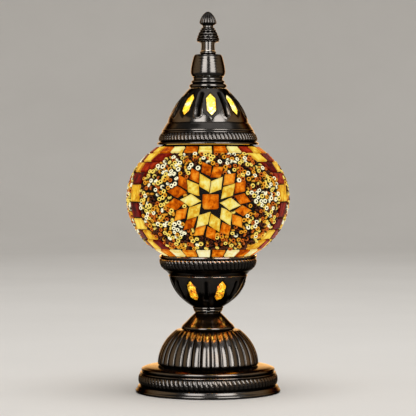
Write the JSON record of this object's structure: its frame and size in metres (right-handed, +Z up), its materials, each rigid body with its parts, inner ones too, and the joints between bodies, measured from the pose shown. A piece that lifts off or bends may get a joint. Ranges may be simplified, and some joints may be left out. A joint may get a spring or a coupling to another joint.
{
  "type": "mosaic glass table lamp",
  "caption": "Free-standing table lamp: an oblate glass globe in a skin of cut glass and ring beads, between a pierced metal cup on a fluted weighted foot and a pierced lid with a finial.",
  "frame": {"origin": "centre of the foot pad's underside, where the lamp stands on a table", "axes": "+Z up along the lamp's axis, -Y towards the front medallion, +X to its right as seen from the front"},
  "size_m": [0.1312, 0.1312, 0.3036],
  "materials": {
    "dark_metal": "polished",
    "cast_iron": "rough",
    "plated_steel": "satin",
    "brass": "satin",
    "rubber": "matte",
    "holder_plastic": "satin",
    "ceramic": "satin",
    "bulb_glass": "polished",
    "filament": "satin",
    "globe_glass": "polished",
    "grout": "matte",
    "tile_yellow": "polished",
    "tile_orange": "polished",
    "tile_red": "polished",
    "bead_glass": "polished",
    "amber_film": "satin"
  },
  "bodies": {
    "stand": {"foot_pad": "rubber", "base_shell": "dark_metal", "base_weight": "cast_iron", "bottom_nut": "plated_steel", "bottom_washer": "plated_steel", "cord_bush": "rubber", "fluted_dome": "dark_metal", "dome_collar": "dark_metal", "neck_cone": "dark_metal", "stem_pipe": "plated_steel", "cup": "dark_metal", "cup_liner": "amber_film", "cup_washer": "plated_steel", "cup_nut": "plated_steel", "seat_gasket": "rubber", "lampholder_cap": "holder_plastic", "lampholder_shell": "holder_plastic", "lampholder_core": "ceramic", "lampholder_screw": "brass", "lampholder_contact": "brass"},
    "bulb": {"bulb_contact": "plated_steel", "bulb_insulator": "holder_plastic", "bulb_cap": "brass", "bulb_glass": "bulb_glass", "bulb_stem": "bulb_glass", "bulb_filament": "filament"},
    "globe": {"globe_glass": "globe_glass", "mosaic_skin": "grout"},
    "lid": {"lid_dome": "dark_metal", "lid_liner": "amber_film", "lid_gasket": "rubber", "lid_washer": "plated_steel", "lid_nut": "plated_steel", "lid_bead_collar": "dark_metal", "lid_turret": "dark_metal", "finial_collar": "dark_metal", "finial_neck": "dark_metal", "finial": "dark_metal", "finial_rod": "plated_steel"}
  },
  "joints": [
    {"name": "globe_lift", "type": "slide", "parent": "stand", "child": "globe", "axis": [0, 0, 1], "range_m": [0, 0.105]},
    {"name": "lid_lift", "type": "slide", "parent": "globe", "child": "lid", "axis": [0, 0, 1], "range_m": [0, 0.045]},
    {"name": "bulb_unscrew", "type": "slide", "parent": "stand", "child": "bulb", "axis": [0, 0, 1], "range_m": [0, 0.022]}
  ]
}
